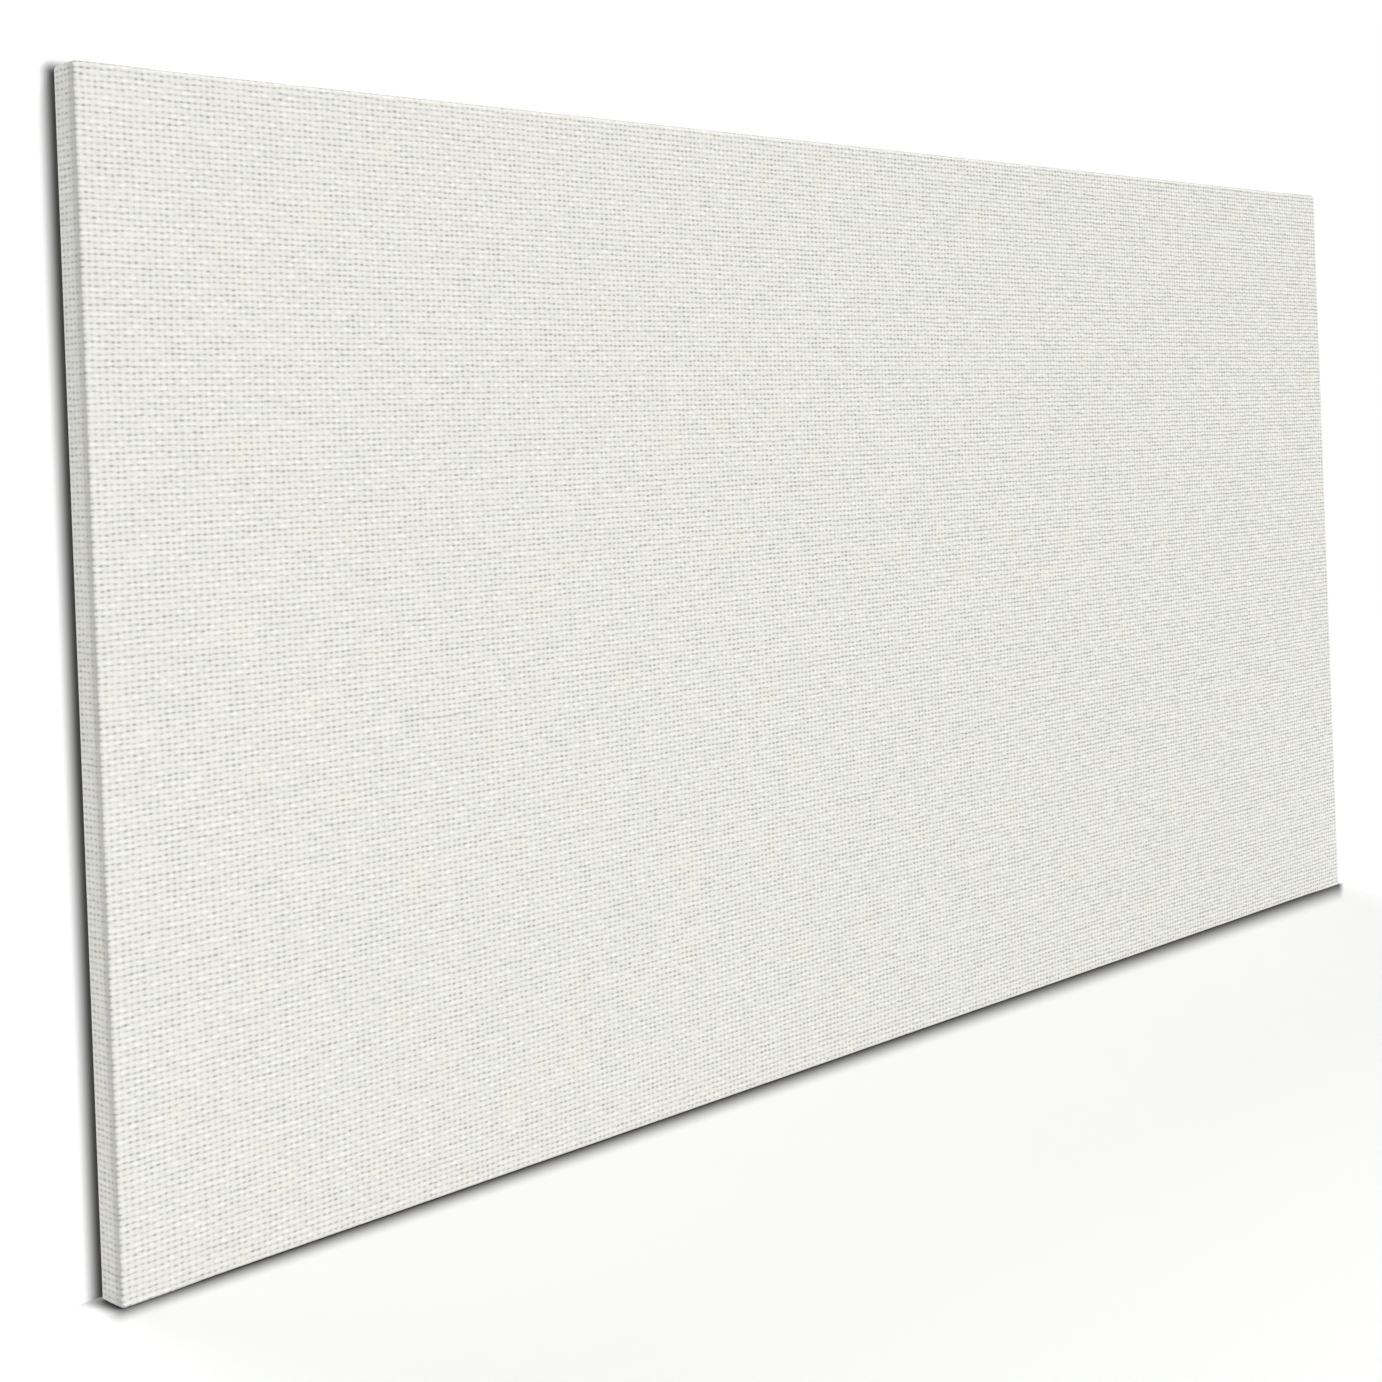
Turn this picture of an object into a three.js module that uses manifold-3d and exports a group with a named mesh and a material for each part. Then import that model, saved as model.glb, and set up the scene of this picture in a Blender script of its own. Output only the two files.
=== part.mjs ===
// A stretched canvas: primed cloth wrapped round a keyed wooden stretcher frame and stapled at the back.
//
// Millimetres, +Z up. The painting face looks along -Y and the back along +Y. The origin is the middle
// of the bottom edge, half way through the depth.
//
// Each bar is drawn in a bar frame: u runs along the bar from its start, v runs across it from the outer
// edge to the inner edge, and depth runs from the back of the frame towards the cloth. The four bars go
// round the frame in turn, so every corner joins the start of one bar to the end of the bar before it.

import * as THREE from "three";
import { mergeVertices } from "three/addons/utils/BufferGeometryUtils.js";
import Module from "manifold-3d";

const wasm = await Module();
wasm.setup();

// The whole object.
const WIDTH = 1200;
const HEIGHT = 600;
const DEPTH = 19;

// The cloth.
const CLOTH = 0.7;
const CLOTH_CLEARANCE = 0.1;
const FOLD_RADIUS = 1.8;
const FLAP_WIDTH = 26;

// The four bars.
const WRAP = CLOTH + CLOTH_CLEARANCE;
const BAR_WIDTH = 38;
const BAR_DEPTH = DEPTH - 2 * WRAP;
const LIP_WIDTH = 5;
const FACE_FALL = 3.5;
const EASED_EDGE = 0.8;
const BAR_RADIUS = FOLD_RADIUS - WRAP;
const CORNER_EASE = 3.5; // taken off each outer corner at the back, so that the folded cloth lies flat
const CORNER_EASE_DEPTH = 13; // how far forward the eased corner runs
const BAR_FACET = 100; // roughly each facet's length along a bar, so that a hook's seat is its own flat

// The joint layers, as depths from the back of the bars. A bar's start has its tongue in the rear layer
// and its slot in the front layer, and its end has them the other way round.
const REAR_LAYER = [3.6, 7.6];
const FRONT_LAYER = [7.6, 11.6];
const JOINT_CLEARANCE = 0.15;
const MITRE_GAP = 0.3;

// The wedge keys.
const KEY_LENGTH = 36;
const KEY_TIP = 3;
const KEY_HEAD = 11;
const KEY_THICKNESS = 3.2;
const KEY_CHAMFER = 0.8;
const KEY_CLEARANCE = 0.15;
const KEY_SLOPE = (KEY_HEAD - KEY_TIP) / KEY_LENGTH;
const CORNER_KEY_INSERT = 21;
const BRACE_KEY_INSERT = 12;

// The centre brace and its tenons.
const BRACE_WIDTH = 38;
const BRACE_DEPTH = 11.5;
const SHOULDER_GAP = 0.3;
const TENON_WIDTH = 13;
const TENON_LENGTH = 20;
const MORTISE_CLEARANCE = 0.3;

// The staples.
const CROWN = 10;
const LEG = 6;
const WIRE = 0.5;
const WIRE_WIDTH = 1.2;
const CHISEL = 0.8;
const CROWN_CLEARANCE = 0.05;
const LEG_CLEARANCE = 0.15;
const STAPLE_ROW = 13;
const LONG_BAR_STAPLES = 12;
const SHORT_BAR_STAPLES = 6;
const LONG_BAR_PITCH = 94;
const SHORT_BAR_PITCH = 92;
const START_STAPLE = 28; // how far from the start of a long bar its first corner staple stands
const END_STAPLE = 47; // and the other one from the end, clear of the neighbour's tongue in the rear layer

const ARC_SEGMENTS = 3;
const PAST = 5; // how far a cutter runs past the face it cuts

const clothMaterial = new THREE.MeshStandardMaterial({ color: 0xeeece5, roughness: 0.9, metalness: 0 });
const pineMaterial = new THREE.MeshStandardMaterial({ color: 0xd8bb8c, roughness: 0.65, metalness: 0 });
const beechMaterial = new THREE.MeshStandardMaterial({ color: 0xdfc29a, roughness: 0.6, metalness: 0 });
const steelMaterial = new THREE.MeshStandardMaterial({ color: 0xb9bdc1, roughness: 0.35, metalness: 0.9 });

// Ways to stand a drawn outline up in a bar frame. Each takes the outline's two axes and its extrusion.
const X = new THREE.Vector3(1, 0, 0);
const Y = new THREE.Vector3(0, 1, 0);
const Z = new THREE.Vector3(0, 0, 1);
const TO_FRONT = Y.clone().negate();
const DOWN = Z.clone().negate();
const PLAN = new THREE.Matrix4().makeBasis(X, Z, TO_FRONT); // (u, v), extruded through the depth
const PROFILE = new THREE.Matrix4().makeBasis(Z, TO_FRONT, X); // (v, depth), extruded along the bar
const SECTION = new THREE.Matrix4().makeBasis(X, TO_FRONT, DOWN); // (u, depth), extruded towards -v

function outline(points) {
  return new THREE.Shape(points.map(([x, y]) => new THREE.Vector2(x, y)));
}

function extrude(shape, length, basis, options = {}) {
  const settings = { depth: length, bevelEnabled: false, curveSegments: ARC_SEGMENTS, ...options };
  return new THREE.ExtrudeGeometry(shape, settings).applyMatrix4(basis);
}

// A flat piece drawn in plan that fills the depths from rear to front.
function plate(points, [rear, front]) {
  return extrude(outline(points), front - rear, PLAN).translate(0, -rear, 0);
}

function rectangle(left, right, low, high) {
  return [
    [left, low],
    [right, low],
    [right, high],
    [left, high],
  ];
}

// A closed geometry as a solid. Each triangle is its own face, so coplanar facets stay apart.
function solid(geometry) {
  const bare = geometry.clone();
  bare.deleteAttribute("normal");
  bare.deleteAttribute("uv");
  const merged = mergeVertices(bare);
  const vertProperties = new Float32Array(merged.attributes.position.array);
  const triVerts = new Uint32Array(merged.index.array);
  const faceID = Uint32Array.from({ length: triVerts.length / 3 }, (_, i) => i);
  return new wasm.Manifold(new wasm.Mesh({ numProp: 3, vertProperties, triVerts, faceID }));
}

function toGeometry(shape) {
  const { vertProperties, triVerts } = shape.getMesh();
  const geometry = new THREE.BufferGeometry();
  geometry.setAttribute("position", new THREE.BufferAttribute(vertProperties, 3));
  geometry.setIndex(new THREE.BufferAttribute(triVerts, 1));
  const faceted = geometry.toNonIndexed();
  faceted.computeVertexNormals();
  return faceted;
}

// The geometry left when the added pieces are joined to a body and the cutters are taken away.
function carve(body, added, cutters) {
  const joined = added.reduce((sum, piece) => sum.add(solid(piece)), solid(body));
  return toGeometry(cutters.reduce((rest, cutter) => rest.subtract(solid(cutter)), joined));
}

function mesh(name, geometry, material) {
  const made = new THREE.Mesh(geometry, material.clone());
  made.name = name;
  return made;
}

// The four bars, in order round the frame, seen from the front. The start corner is where each begins.
const LEFT_EDGE = -WIDTH / 2 + WRAP;
const RIGHT_EDGE = WIDTH / 2 - WRAP;
const LOW_EDGE = WRAP;
const TOP_EDGE = HEIGHT - WRAP;
const LONG_BAR = WIDTH - 2 * WRAP;
const SHORT_BAR = HEIGHT - 2 * WRAP;
const BARS = [
  { side: "bottom", corner: "bottom_left", turns: 0, at: [LEFT_EDGE, LOW_EDGE], length: LONG_BAR },
  { side: "right", corner: "bottom_right", turns: -1, at: [RIGHT_EDGE, LOW_EDGE], length: SHORT_BAR },
  { side: "top", corner: "top_right", turns: 2, at: [RIGHT_EDGE, TOP_EDGE], length: LONG_BAR },
  { side: "left", corner: "top_left", turns: 1, at: [LEFT_EDGE, TOP_EDGE], length: SHORT_BAR },
];

function isLong(bar) {
  return bar.length === LONG_BAR;
}

// Each bar ends at the corner where the next one starts.
function endCorner(bar) {
  return BARS[(BARS.indexOf(bar) + 1) % BARS.length].corner;
}

// Where the staples of a bar stand along it: an even row and, on a long bar, one at each end through the
// folded corner of the cloth.
function staplesOf(bar) {
  const count = isLong(bar) ? LONG_BAR_STAPLES : SHORT_BAR_STAPLES;
  const pitch = isLong(bar) ? LONG_BAR_PITCH : SHORT_BAR_PITCH;
  const row = Array.from({ length: count }, (_, i) => ({
    name: `staple_${bar.side}_${i + 1}`,
    along: bar.length / 2 + (i - (count - 1) / 2) * pitch,
  }));
  if (!isLong(bar)) return row;
  const corners = [
    { name: `staple_corner_${bar.corner}`, along: START_STAPLE },
    { name: `staple_corner_${endCorner(bar)}`, along: bar.length - END_STAPLE },
  ];
  return [...row, ...corners];
}

// The pockets that one staple's two legs stand in, through the cloth and into the wood.
function legPockets(along) {
  const outer = CROWN / 2 + LEG_CLEARANCE;
  const inner = CROWN / 2 - WIRE - LEG_CLEARANCE;
  const half = WIRE_WIDTH / 2 + LEG_CLEARANCE;
  const depths = [-PAST, LEG + LEG_CLEARANCE];
  return [1, -1].map((side) => {
    const edges = [along + side * outer, along + side * inner].sort((a, b) => a - b);
    return plate(rectangle(...edges, STAPLE_ROW - half, STAPLE_ROW + half), depths);
  });
}

// A U of flat wire. Its crown lies on the turned-over cloth and its chisel-pointed legs go into the wood.
function stapleGeometry() {
  const crownTop = -WRAP - CROWN_CLEARANCE - WIRE;
  const crownUnder = crownTop + WIRE;
  const outer = CROWN / 2;
  const inner = outer - WIRE;
  const points = [
    [-outer, crownTop],
    [outer, crownTop],
    [outer, LEG - CHISEL],
    [inner, LEG],
    [inner, crownUnder],
    [-inner, crownUnder],
    [-inner, LEG],
    [-outer, LEG - CHISEL],
  ];
  return extrude(outline(points), WIRE_WIDTH, SECTION).translate(0, 0, WIRE_WIDTH / 2);
}

// A bar's profile: a flat back, a lip at the outer front edge that carries the cloth, and a face that
// falls away from the cloth towards the inner edge.
function barProfile() {
  const radius = BAR_RADIUS;
  const innerFront = BAR_DEPTH - FACE_FALL;
  const shape = new THREE.Shape();
  shape.moveTo(radius, 0);
  shape.lineTo(BAR_WIDTH - EASED_EDGE, 0);
  shape.lineTo(BAR_WIDTH, EASED_EDGE);
  shape.lineTo(BAR_WIDTH, innerFront - EASED_EDGE);
  shape.lineTo(BAR_WIDTH - EASED_EDGE, innerFront);
  shape.lineTo(LIP_WIDTH, BAR_DEPTH);
  shape.lineTo(radius, BAR_DEPTH);
  shape.absarc(radius, BAR_DEPTH - radius, radius, Math.PI / 2, Math.PI, false);
  shape.lineTo(0, radius);
  shape.absarc(radius, radius, radius, Math.PI, 1.5 * Math.PI, false);
  return shape;
}

// Where the sloping end wall of a slot stands, at a distance across the bar from its outer edge.
function slotWall(across) {
  const fromTip = across - (BAR_WIDTH - CORNER_KEY_INSERT);
  return BAR_WIDTH + 2 * KEY_CLEARANCE + KEY_TIP + fromTip * KEY_SLOPE;
}

// The slot at one end of a bar, in plan. It takes the neighbour's tongue and, beyond that, a key.
function slotOutline() {
  const square = BAR_WIDTH + MITRE_GAP;
  const bend = BAR_WIDTH - CORNER_KEY_INSERT - (KEY_TIP + 2 * KEY_CLEARANCE - MITRE_GAP) / KEY_SLOPE;
  const far = BAR_WIDTH + PAST;
  return [
    [-PAST, -PAST],
    [square, -PAST],
    [square, bend],
    [slotWall(far), far],
    [-PAST, far],
  ];
}

// What the mitre takes off one end of a bar, in plan: all that lies past the diagonal.
function mitreOutline() {
  const shift = MITRE_GAP / Math.SQRT2;
  const far = BAR_WIDTH + PAST;
  return [
    [-PAST, -PAST],
    [shift - PAST, -PAST],
    [shift + far, far],
    [-PAST, far],
  ];
}

// A block whose near face is the slanting plane that eases an outer corner. side is 1 at a bar's start and
// -1 at its end, where the corner stands at the bar's length.
function easeCutter(corner, side) {
  const size = BAR_WIDTH + PAST; // ample, since only a corner smaller than the bar is taken off
  const outward = new THREE.Vector3(-side / CORNER_EASE, 1 / CORNER_EASE_DEPTH, -1 / CORNER_EASE).normalize();
  const onPlane = new THREE.Vector3(corner + side * CORNER_EASE, 0, 0);
  const block = new THREE.BoxGeometry(size, size, size);
  block.translate(0, 0, size / 2);
  block.applyQuaternion(new THREE.Quaternion().setFromUnitVectors(Z, outward));
  return block.translate(onPlane.x, onPlane.y, onPlane.z);
}

// The cutters for a bar's start, which keeps a tongue in the rear layer.
function startCutters() {
  const behind = [-PAST, REAR_LAYER[0] + JOINT_CLEARANCE];
  const ahead = [REAR_LAYER[1] - JOINT_CLEARANCE, BAR_DEPTH + PAST];
  const slot = [REAR_LAYER[1] - JOINT_CLEARANCE, FRONT_LAYER[1]];
  return [plate(mitreOutline(), behind), plate(mitreOutline(), ahead), plate(slotOutline(), slot)];
}

// The cutters for a bar's end, which keeps a tongue in the front layer.
function endCutters(length) {
  const fromEnd = (points) => points.map(([u, v]) => [length - u, v]);
  const behind = [-PAST, FRONT_LAYER[0] + JOINT_CLEARANCE];
  const ahead = [FRONT_LAYER[1] - JOINT_CLEARANCE, BAR_DEPTH + PAST];
  const slot = [REAR_LAYER[0], FRONT_LAYER[0] + JOINT_CLEARANCE];
  const mitre = fromEnd(mitreOutline());
  return [plate(mitre, behind), plate(mitre, ahead), plate(fromEnd(slotOutline()), slot)];
}

function mortise(length) {
  const half = TENON_WIDTH / 2 + MORTISE_CLEARANCE;
  const floor = BAR_WIDTH - TENON_LENGTH - MORTISE_CLEARANCE;
  return plate(rectangle(length / 2 - half, length / 2 + half, floor, BAR_WIDTH + PAST), REAR_LAYER);
}

function barGeometry(bar) {
  const steps = Math.round(bar.length / BAR_FACET);
  const stick = extrude(barProfile(), bar.length, PROFILE, { steps });
  const pockets = staplesOf(bar).flatMap(({ along }) => legPockets(along));
  const eased = [easeCutter(0, 1), easeCutter(bar.length, -1)];
  const cutters = [...startCutters(), ...endCutters(bar.length), ...eased, ...pockets];
  if (isLong(bar)) cutters.push(mortise(bar.length));
  return carve(stick, [], cutters);
}

// A thin wedge, drawn from its tip. Its flat edge lies along u and its thickness is centred.
function keyGeometry() {
  const c = KEY_CHAMFER;
  const points = [
    [c, 0],
    [KEY_LENGTH - c, 0],
    [KEY_LENGTH, c],
    [KEY_LENGTH, KEY_HEAD - c],
    [KEY_LENGTH - c, KEY_HEAD - c * KEY_SLOPE],
    [c, KEY_TIP + c * KEY_SLOPE],
    [0, KEY_TIP - c],
    [0, c],
  ];
  return plate(points, [-KEY_THICKNESS / 2, KEY_THICKNESS / 2]);
}

function middle([rear, front]) {
  return (rear + front) / 2;
}

// The two keys at a bar's start corner. One lies along this bar with its tip in the neighbour's slot.
// The other lies along the neighbour with its tip in this bar's slot. They cross in different layers.
function cornerKeys(bar) {
  const lying = isLong(bar) ? "horizontal" : "vertical";
  const crossing = isLong(bar) ? "vertical" : "horizontal";
  const tip = BAR_WIDTH - CORNER_KEY_INSERT;
  const edge = BAR_WIDTH + KEY_CLEARANCE;
  const along = mesh(`corner_key_${bar.corner}_${lying}`, keyGeometry(), beechMaterial);
  along.position.set(tip, -middle(REAR_LAYER), edge);
  const across = mesh(`corner_key_${bar.corner}_${crossing}`, keyGeometry(), beechMaterial);
  across.position.set(edge, -middle(FRONT_LAYER), tip);
  across.quaternion.setFromAxisAngle(new THREE.Vector3(1, 0, 1).normalize(), Math.PI);
  return [along, across];
}

// One bar with its corner keys and staples, in its own frame.
function barGroup(bar) {
  const group = new THREE.Group();
  group.add(mesh(`${bar.side}_bar`, barGeometry(bar), pineMaterial));
  group.add(...cornerKeys(bar));
  for (const { name, along } of staplesOf(bar)) {
    const staple = mesh(name, stapleGeometry(), steelMaterial);
    staple.position.set(along, 0, STAPLE_ROW);
    group.add(staple);
  }
  const [across, up] = bar.at;
  group.position.set(across, DEPTH / 2 - WRAP, up);
  group.rotation.y = (bar.turns * Math.PI) / 2;
  return group;
}

// The brace stands between the inner edges of the bottom and top bars, flush with their backs.
const BRACE_LOW = LOW_EDGE + BAR_WIDTH;
const BRACE_TOP = TOP_EDGE - BAR_WIDTH;
const BRACE_MIDDLE = (BRACE_LOW + BRACE_TOP) / 2;

// Turns plan points drawn at the bottom of the brace into one of its four quarters.
function inQuarter(points, side, end) {
  return points.map(([x, z]) => [side * x, BRACE_MIDDLE + end * (BRACE_MIDDLE - z)]);
}

// The room for a key beside a tenon, behind one shoulder, in plan at the bottom right.
function keyNotchOutline() {
  const inner = TENON_WIDTH / 2;
  const outer = BRACE_WIDTH / 2 + PAST;
  const wall = (x) => {
    const fromTip = x - (BRACE_WIDTH / 2 - BRACE_KEY_INSERT);
    return BRACE_LOW + 2 * KEY_CLEARANCE + KEY_TIP + fromTip * KEY_SLOPE;
  };
  return [
    [inner, BRACE_LOW - PAST],
    [outer, BRACE_LOW - PAST],
    [outer, wall(outer)],
    [inner, wall(inner)],
  ];
}

function braceProfile() {
  const half = BRACE_WIDTH / 2;
  const c = EASED_EDGE;
  return outline([
    [-half + c, 0],
    [half - c, 0],
    [half, c],
    [half, BRACE_DEPTH - c],
    [half - c, BRACE_DEPTH],
    [-half + c, BRACE_DEPTH],
    [-half, BRACE_DEPTH - c],
    [-half, c],
  ]);
}

function braceGeometry() {
  const low = BRACE_LOW + SHOULDER_GAP;
  const top = BRACE_TOP - SHOULDER_GAP;
  const stick = extrude(braceProfile(), top - low, SECTION).translate(0, 0, top);
  const tongue = [REAR_LAYER[0] + JOINT_CLEARANCE, REAR_LAYER[1] - JOINT_CLEARANCE];
  const half = TENON_WIDTH / 2;
  const tenon = plate(rectangle(-half, half, BRACE_LOW - TENON_LENGTH, BRACE_TOP + TENON_LENGTH), tongue);
  const quarters = [1, -1].flatMap((side) => [1, -1].map((end) => [side, end]));
  const notches = quarters.map(([side, end]) => plate(inQuarter(keyNotchOutline(), side, end), REAR_LAYER));
  return carve(stick, [tenon], notches);
}

// The key at one quarter of the brace lies on a bar's inner edge, with its tip beside the tenon.
function braceKey(name, side, end) {
  const key = mesh(name, keyGeometry(), beechMaterial);
  const rest = end < 0 ? BRACE_LOW + KEY_CLEARANCE : BRACE_TOP - KEY_CLEARANCE;
  key.position.set(side * (BRACE_WIDTH / 2 - BRACE_KEY_INSERT), -middle(REAR_LAYER), rest);
  if (end > 0) key.rotation.x = Math.PI;
  if (side < 0) key.rotation.z = Math.PI;
  return key;
}

function braceGroup() {
  const group = new THREE.Group();
  group.add(mesh("centre_brace", braceGeometry(), pineMaterial));
  group.add(braceKey("brace_key_bottom_right", 1, -1));
  group.add(braceKey("brace_key_bottom_left", -1, -1));
  group.add(braceKey("brace_key_top_right", 1, 1));
  group.add(braceKey("brace_key_top_left", -1, 1));
  group.position.y = DEPTH / 2 - WRAP;
  return group;
}

// A slab the size of the whole object less an inset all round, with its long edges rounded.
function roundedSlab(inset) {
  const radius = FOLD_RADIUS - inset;
  const edge = inset + radius;
  const shape = outline(rectangle(-WIDTH / 2 + edge, WIDTH / 2 - edge, edge, HEIGHT - edge));
  const bevel = {
    bevelEnabled: true,
    bevelSize: radius,
    bevelThickness: radius,
    bevelSegments: ARC_SEGMENTS,
  };
  return extrude(shape, DEPTH - 2 * edge, PLAN, bevel).translate(0, DEPTH / 2 - edge, 0);
}

function flapWindow() {
  const points = rectangle(-WIDTH / 2 + FLAP_WIDTH, WIDTH / 2 - FLAP_WIDTH, FLAP_WIDTH, HEIGHT - FLAP_WIDTH);
  return plate(points, [-PAST, DEPTH / 2]).translate(0, DEPTH / 2, 0);
}

// The cloth is one sheet: the face, four sides and four flaps turned over onto the back.
function canvasGeometry(bars) {
  const pockets = bars.flatMap(({ bar, group }) =>
    staplesOf(bar).flatMap(({ along }) => legPockets(along).map((g) => g.applyMatrix4(group.matrixWorld))),
  );
  return carve(roundedSlab(0), [], [roundedSlab(CLOTH), flapWindow(), ...pockets]);
}

const stretchedCanvas = new THREE.Group();
const bars = BARS.map((bar) => ({ bar, group: barGroup(bar) }));
stretchedCanvas.add(...bars.map(({ group }) => group));
stretchedCanvas.add(braceGroup());
stretchedCanvas.updateMatrixWorld(true);
stretchedCanvas.add(mesh("canvas", canvasGeometry(bars), clothMaterial));

export default stretchedCanvas;
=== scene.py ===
"""The looks of a stretched canvas: primed cloth over a keyed pine stretcher frame.

Metres, +Z up. The painting face looks along -Y. The cloth is one sheet, built here as a closed shell that
wraps the CAD frame, with its corners folded and its cut edge frayed. Bars, keys and staples are the CAD
nodes themselves, with their edges eased and wood or steel materials on them.
"""

import math
from typing import NamedTuple

import bpy
import numpy as np
from mathutils import Matrix, Vector


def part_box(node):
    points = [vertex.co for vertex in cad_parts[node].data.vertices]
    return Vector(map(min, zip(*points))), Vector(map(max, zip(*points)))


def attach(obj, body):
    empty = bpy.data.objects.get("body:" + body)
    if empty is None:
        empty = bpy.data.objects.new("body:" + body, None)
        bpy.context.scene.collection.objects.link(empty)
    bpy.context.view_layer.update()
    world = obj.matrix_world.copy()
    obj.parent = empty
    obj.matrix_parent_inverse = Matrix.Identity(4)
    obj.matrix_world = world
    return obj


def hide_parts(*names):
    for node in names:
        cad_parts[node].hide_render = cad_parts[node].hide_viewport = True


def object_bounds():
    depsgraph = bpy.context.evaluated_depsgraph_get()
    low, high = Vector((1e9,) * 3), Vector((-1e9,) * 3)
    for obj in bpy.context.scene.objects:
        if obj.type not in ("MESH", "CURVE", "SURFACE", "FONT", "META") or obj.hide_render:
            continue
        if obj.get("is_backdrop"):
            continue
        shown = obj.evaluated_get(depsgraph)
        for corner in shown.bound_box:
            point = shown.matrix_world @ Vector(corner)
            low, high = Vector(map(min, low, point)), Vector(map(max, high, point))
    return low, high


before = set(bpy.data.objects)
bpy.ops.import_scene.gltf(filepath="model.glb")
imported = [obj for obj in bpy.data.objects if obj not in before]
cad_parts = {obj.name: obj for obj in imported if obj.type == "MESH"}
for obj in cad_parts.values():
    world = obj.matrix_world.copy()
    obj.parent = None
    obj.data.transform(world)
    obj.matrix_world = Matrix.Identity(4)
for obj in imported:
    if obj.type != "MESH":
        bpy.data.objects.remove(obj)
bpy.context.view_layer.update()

MM = 0.001

# The cloth's outer size is the CAD cloth's.
CLOTH_LOW, CLOTH_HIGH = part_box("canvas")
WIDTH = CLOTH_HIGH.x - CLOTH_LOW.x
HEIGHT = CLOTH_HIGH.z - CLOTH_LOW.z
DEPTH = CLOTH_HIGH.y - CLOTH_LOW.y
FRONT = CLOTH_LOW.y
BACK = CLOTH_HIGH.y
MIDDLE = HEIGHT / 2
SIDE_LENGTH = {"top": WIDTH, "bottom": WIDTH, "left": HEIGHT, "right": HEIGHT}
UPRIGHT_SIDES = ("left", "right")

# The wrap's cross-section.
CLOTH = 0.7 * MM  # the cloth's thickness
FOLD_RADIUS = 1.8 * MM
FLAP_WIDTH = 26 * MM
FACE_INSETS = [n * MM for n in (16, 9, 5, 3)]
FLAP_INSETS = [n * MM for n in (3, 4.5, 6.5, 8.5, 10.5, 12.4, 14.2, 16, 18, 20, 22, 23.7, 25, 25.8)]
FOLD_STEPS = 6
SIDE_STEPS = 7

# The four corners, seen from the front.
CORNER_RADIUS = 1.0 * MM  # at the face
TOP_BACK_RADIUS = 2.6 * MM  # of the top corners at the back, where the folded cloth is thick
BOTTOM_BACK_RADIUS = 1.4 * MM
EASE_START = 2.0 * MM  # the depth from which the corners grow rounder
SHARP_CORNER = 0.5 * MM
ARC_STEPS = 6

# How far the cloth stands off a flat wrap.
STAPLE_PULL = 9 * MM  # how far a staple holds the cloth down around it
FLAP_LIFT = 0.45 * MM
FLAP_RISE = (2 * MM, 12 * MM)  # the insets between which a flap comes off the wood
EDGE_LIFT = 0.5 * MM
EDGE_EVEN = 0.55  # the share of that lift that is the same all along, while the rest comes and goes
EDGE_RISE = 14 * MM  # the inset at which the cut edge starts to curl up
FOLD_STEP = 0.8 * MM  # how far the top and bottom flaps stand over the side flaps under them
FOLD_ROLL = 1.0 * MM
FOLD_FADE = (20 * MM, 56 * MM)
FOLD_HELD = 0.75  # the share of that step that a staple presses flat
FOLD_HELD_REACH = 0.6 * STAPLE_PULL
FOLD_HELD_RISE = (4 * MM, 9 * MM)
FOLD_ON_SIDES = 0.7  # the share of the step that shows on the canvas's sides

# How the cut edge wanders, and how it is rounded.
EDGE_WANDER = 1.0 * MM
EDGE_WAVELENGTH = 45 * MM
WANDER_RISE = 17 * MM
WANDER_FADE = (2 * MM, 20 * MM)  # it wanders less and less between these distances from a corner
EDGE_SAMPLES = np.linspace(-WIDTH / 2, WIDTH / 2, 600)  # the places along a side where it is worked out
OCTAVES = ((1, 0.6), (2.1, 0.3), (4.3, 0.15))  # how much finer each is, and its share
EDGE_BULGE = 0.35 * CLOTH
EDGE_TURNS = (0.2, 0.8)  # the shares of the thickness between which the bulge is full

# Where the mesh has its columns of points along a side.
STATION_GAP = 10 * MM
STATION_CLEARANCE = 0.45 * STATION_GAP
LEAST_GAP = 0.3 * MM
STAPLE_STATIONS = [n * 2 * MM for n in (-3, -2, -1, 0, 1, 2, 3)]
CORNER_STATIONS = [n * MM for n in (0.35, 0.8, 1.5, 2.6, 4.2, 6.5, 9.5, 13.5, 18, 23, 29, 36, 44)]
CORNER_ZONE = 60 * MM  # the stations draw together towards a corner over this length
HUNDREDTH_MM = 5  # the digits that places in metres are rounded to, so that equal ones meet

# The weave.
ROW_PITCH = 3.0 * MM
COLUMN_PITCH = 3.7 * MM

# The loose threads at the cut edge.
THREAD_SEED = 7
THREAD_MARGIN = 1.0 * MM  # between the last thread and a corner
THREAD_STRAY = 0.3  # of the weave's pitch
THREAD_LENGTHS = (2.0, 0.7)  # the shape and the scale in mm of the gamma distribution of their lengths
THREAD_SWAY = 0.45
THREAD_CURL = 0.5
THREAD_RADIUS = 0.28 * MM
THREAD_SIDES = 5
THREAD_RINGS = 4
THREAD_TAPER = 0.5
THREAD_ROOT = 0.6 * MM  # how far inside the cut edge a thread starts
THREAD_DROP = 0.25 * MM  # how far its end sinks towards the wood
SHORTEST_THREAD = 0.5 * MM
LONGEST_THREAD = 6 * MM


def smooth(low, high, value):
    """0 below low, 1 above high, and a smooth rise in between."""
    t = np.clip((value - low) / (high - low), 0, 1)
    return t * t * (3 - 2 * t)


def wander(positions, wavelength, seed):
    """A smooth random curve through positions, between about -1 and 1."""
    local = np.random.default_rng(seed)
    total = np.zeros_like(positions)
    for octave, share in OCTAVES:
        knots = np.arange(positions.min() - wavelength, positions.max() + 2 * wavelength, wavelength / octave)
        total += share * np.interp(positions, knots, local.uniform(-1, 1, len(knots)))
    return total


# ---------------------------------------------------------------- the cloth's cross-section

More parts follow.
